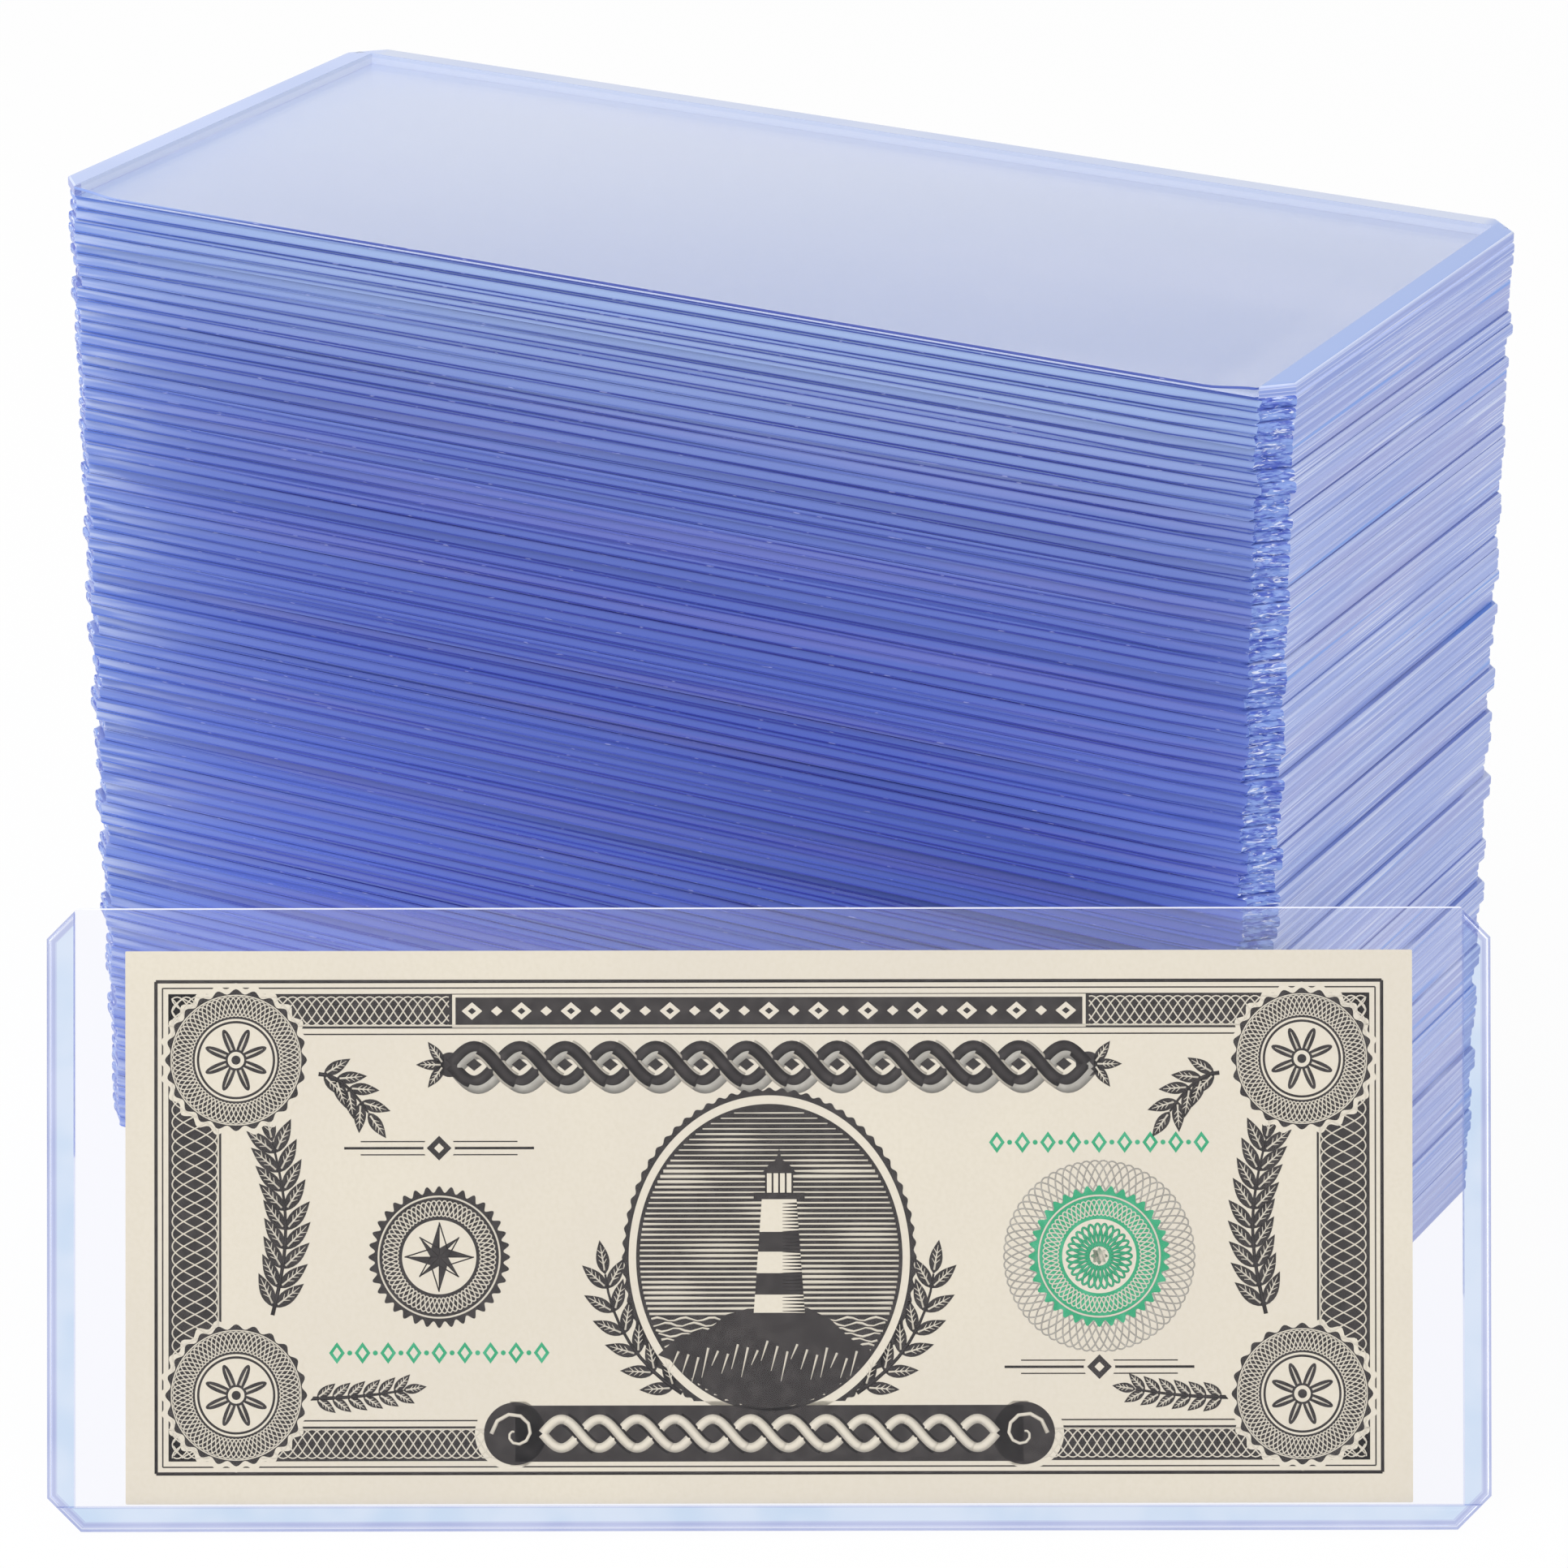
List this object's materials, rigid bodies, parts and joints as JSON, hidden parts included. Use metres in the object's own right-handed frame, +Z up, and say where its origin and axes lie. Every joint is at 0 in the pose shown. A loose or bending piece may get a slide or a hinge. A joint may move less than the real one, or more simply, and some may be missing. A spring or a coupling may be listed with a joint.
{
  "type": "banknote holder",
  "caption": "Pile of clear stiff banknote holders, each open along one long side, with a loaded holder leaning on its corner. The note slides out of the mouth and the top holder lifts off.",
  "frame": {"origin": "middle of the pile's underside, on the surface that the pile and the leaning holder stand on", "axes": "+Z up, +X along the mouths of the holders in the pile, -Y the way the pile's mouths face"},
  "size_m": [0.2128, 0.1717, 0.1357],
  "materials": {
    "stacked_pvc": "clear rigid PVC, blue where many layers are seen together",
    "clear_pvc": "clear rigid PVC, gloss",
    "note_paper": null
  },
  "bodies": {
    "pile": {"holder_pair_01": "stacked_pvc", "holder_pair_02": "stacked_pvc", "holder_pair_03": "stacked_pvc", "holder_pair_04": "stacked_pvc", "holder_pair_05": "stacked_pvc", "holder_pair_06": "stacked_pvc", "holder_pair_07": "stacked_pvc", "holder_pair_08": "stacked_pvc", "holder_pair_09": "stacked_pvc", "holder_pair_10": "stacked_pvc", "holder_pair_11": "stacked_pvc", "holder_pair_12": "stacked_pvc", "holder_pair_13": "stacked_pvc", "holder_pair_14": "stacked_pvc", "holder_pair_15": "stacked_pvc", "holder_pair_16": "stacked_pvc", "holder_pair_17": "stacked_pvc", "holder_pair_18": "stacked_pvc", "holder_pair_19": "stacked_pvc", "holder_pair_20": "stacked_pvc", "holder_pair_21": "stacked_pvc", "holder_pair_22": "stacked_pvc", "holder_pair_23": "stacked_pvc", "holder_pair_24": "stacked_pvc", "holder_pair_25": "stacked_pvc", "holder_pair_26": "stacked_pvc", "holder_pair_27": "stacked_pvc", "holder_pair_28": "stacked_pvc", "holder_pair_29": "stacked_pvc", "holder_pair_30": "stacked_pvc", "holder_pair_31": "stacked_pvc", "holder_pair_32": "stacked_pvc", "holder_pair_33": "stacked_pvc", "holder_pair_34": "stacked_pvc", "holder_pair_35": "stacked_pvc", "holder_pair_36": "stacked_pvc", "holder_pair_37": "stacked_pvc", "holder_pair_38": "stacked_pvc", "holder_pair_39": "stacked_pvc", "holder_pair_40": "stacked_pvc", "holder_pair_41": "stacked_pvc", "holder_pair_42": "stacked_pvc", "holder_pair_43": "stacked_pvc", "holder_pair_44": "stacked_pvc"},
    "top_holder": {"top_holder_lower_sheet": "clear_pvc", "top_holder_upper_sheet": "clear_pvc", "top_holder_left_weld": "clear_pvc", "top_holder_right_weld": "clear_pvc", "top_holder_closed_weld": "clear_pvc"},
    "loaded_holder": {"loaded_holder_front_sheet": "clear_pvc", "loaded_holder_back_sheet": "clear_pvc", "loaded_holder_left_weld": "clear_pvc", "loaded_holder_right_weld": "clear_pvc", "loaded_holder_bottom_weld": "clear_pvc"},
    "note": {"banknote": "note_paper"}
  },
  "joints": [
    {"name": "top_holder_lift", "type": "slide", "parent": "pile", "child": "top_holder", "axis": [0, 0, 1], "range_m": [0, 0.06]},
    {"name": "loaded_holder_draw", "type": "slide", "parent": "pile", "child": "loaded_holder", "axis": [0.4428, -0.8054, 0.3939], "range_m": [0, 0.1]},
    {"name": "note_slide", "type": "slide", "parent": "loaded_holder", "child": "note", "axis": [-0.1898, 0.3452, 0.9191], "range_m": [0, 0.075]}
  ],
  "couplings": [
    {"joint": "note_slide", "follows": "loaded_holder_draw", "ratio": 0.75}
  ]
}
